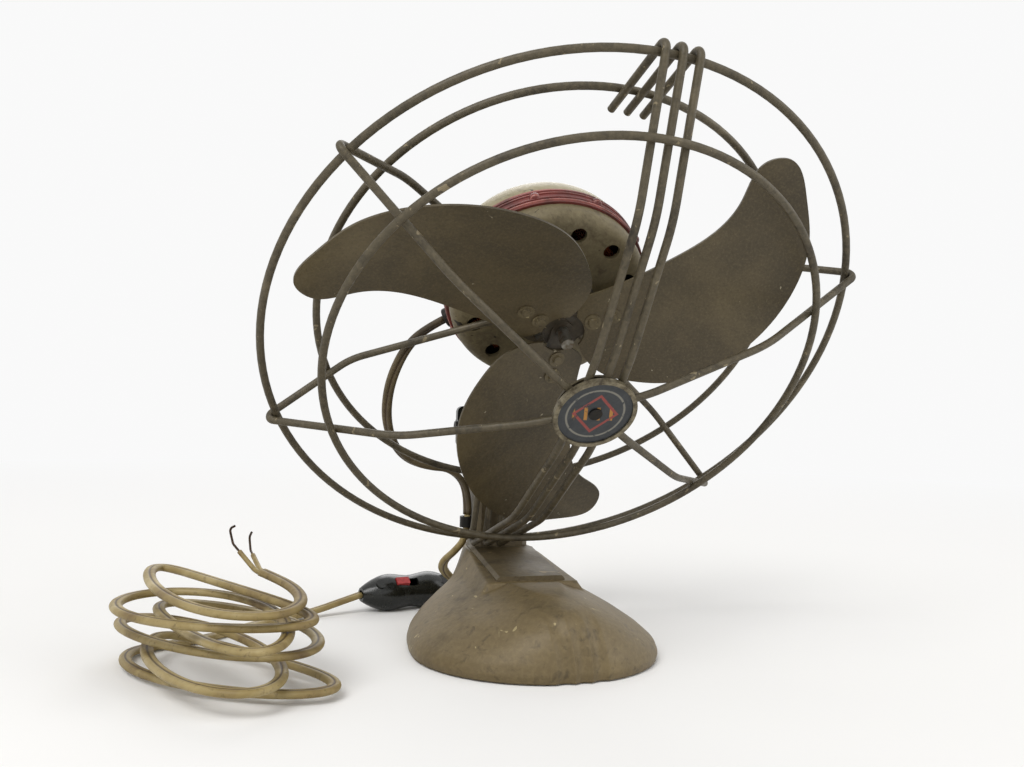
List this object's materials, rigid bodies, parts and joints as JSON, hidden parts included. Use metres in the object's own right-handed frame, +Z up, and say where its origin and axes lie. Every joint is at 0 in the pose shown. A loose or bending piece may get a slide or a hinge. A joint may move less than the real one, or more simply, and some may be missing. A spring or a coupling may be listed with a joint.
{
  "type": "electric desk fan",
  "caption": "Vintage electric desk fan: teardrop cast foot, tilting head with wire guard, riveted blades, round motor, in-line switch and a loose hank of bare-ended flex.",
  "frame": {"origin": "centre of the foot's widest line, on the surface that it stands on", "axes": "+Z up, -Y the way the fan blows, +X to the right seen from the front"},
  "size_m": [0.3384, 0.2691, 0.2662],
  "materials": {
    "olive_paint": "worn olive-bronze enamel, half gloss",
    "olive_wire": "worn olive-bronze enamel on wire",
    "cast_olive": "worn olive-bronze enamel on a casting",
    "cream_paint": "aged cream enamel",
    "red_paint": "aged red enamel",
    "steel": "plain steel",
    "dark_steel": "blackened steel",
    "copper": "enamelled copper wire",
    "bronze": "sintered bronze",
    "lamination": "stacked electrical steel",
    "badge_paint": null,
    "bakelite": "black phenolic resin, glossy",
    "red_plastic": "red moulded plastic",
    "cord": "tan twin flex, rubbery",
    "felt": "dark felt"
  },
  "bodies": {
    "stand": {"base_casting": "cast_olive", "base_plate": "steel", "base_felt": "felt", "base_plate_screws": "steel", "neck_screws": "steel", "neck_casting": "cast_olive", "pivot_bolt": "dark_steel", "pivot_washers": "steel", "cord_clip": "dark_steel", "cord_clip_screw": "steel", "motor_lead": "cord", "flex_to_switch": "cord", "flex_to_hank": "cord", "flex_hank": "cord", "flex_split_cores": "cord", "flex_bare_conductors": "copper", "switch_upper_shell": "bakelite", "switch_lower_shell": "bakelite", "switch_terminals": "bronze", "switch_screws": "steel"},
    "head": {"head_stem": "cast_olive", "motor_front_bell": "cream_paint", "motor_band": "red_paint", "motor_rear_bell": "cream_paint", "stator_core": "lamination", "stator_coils": "copper", "front_bush": "bronze", "rear_bush": "bronze", "motor_gland": "dark_steel", "oiler_cap": "dark_steel", "guard_outer_ring": "olive_wire", "guard_front_ring": "olive_wire", "guard_rear_ring": "olive_wire", "guard_wire_a": "olive_wire", "guard_wire_b": "olive_wire", "guard_wire_c": "olive_wire", "guard_wire_d": "olive_wire", "guard_triple_top": "olive_wire", "guard_triple_bottom": "olive_wire", "guard_clamp_plate": "olive_paint", "guard_clamp_screws": "steel", "badge_back_plate": "olive_paint", "badge_face": "badge_paint", "badge_rim": "olive_wire", "badge_rivet": "dark_steel"},
    "rotor": {"fan_shaft": "steel", "rotor_core": "lamination", "thrust_collars": "steel", "hub_spider": "olive_paint", "hub_set_screw": "steel", "fan_blade_1": "olive_paint", "fan_blade_2": "olive_paint", "fan_blade_3": "olive_paint", "blade_rivets": "olive_paint", "rivet_washers": "olive_paint"},
    "wing": {"tilt_wing_nut": "bakelite"},
    "slide": {"switch_slide": "red_plastic"}
  },
  "joints": [
    {"name": "head_tilt", "type": "hinge", "parent": "stand", "child": "head", "pos_m": [0, 0.0713, 0.11], "axis": [-1, 0, 0], "range_deg": [0, 50], "deforming": ["motor_lead"]},
    {"name": "fan_spin", "type": "hinge", "parent": "head", "child": "rotor", "pos_m": [0, -0.03529, 0.15557], "axis": [0, -0.7638, -0.6455], "continuous": true},
    {"name": "tilt_lock_turn", "type": "hinge", "parent": "stand", "child": "wing", "pos_m": [-0.02, 0.0713, 0.11], "axis": [1, 0, 0], "range_deg": [0, 360]},
    {"name": "switch_slide_travel", "type": "slide", "parent": "stand", "child": "slide", "axis": [0.9659, 0.2588, 0], "range_m": [0, 0.006]}
  ]
}
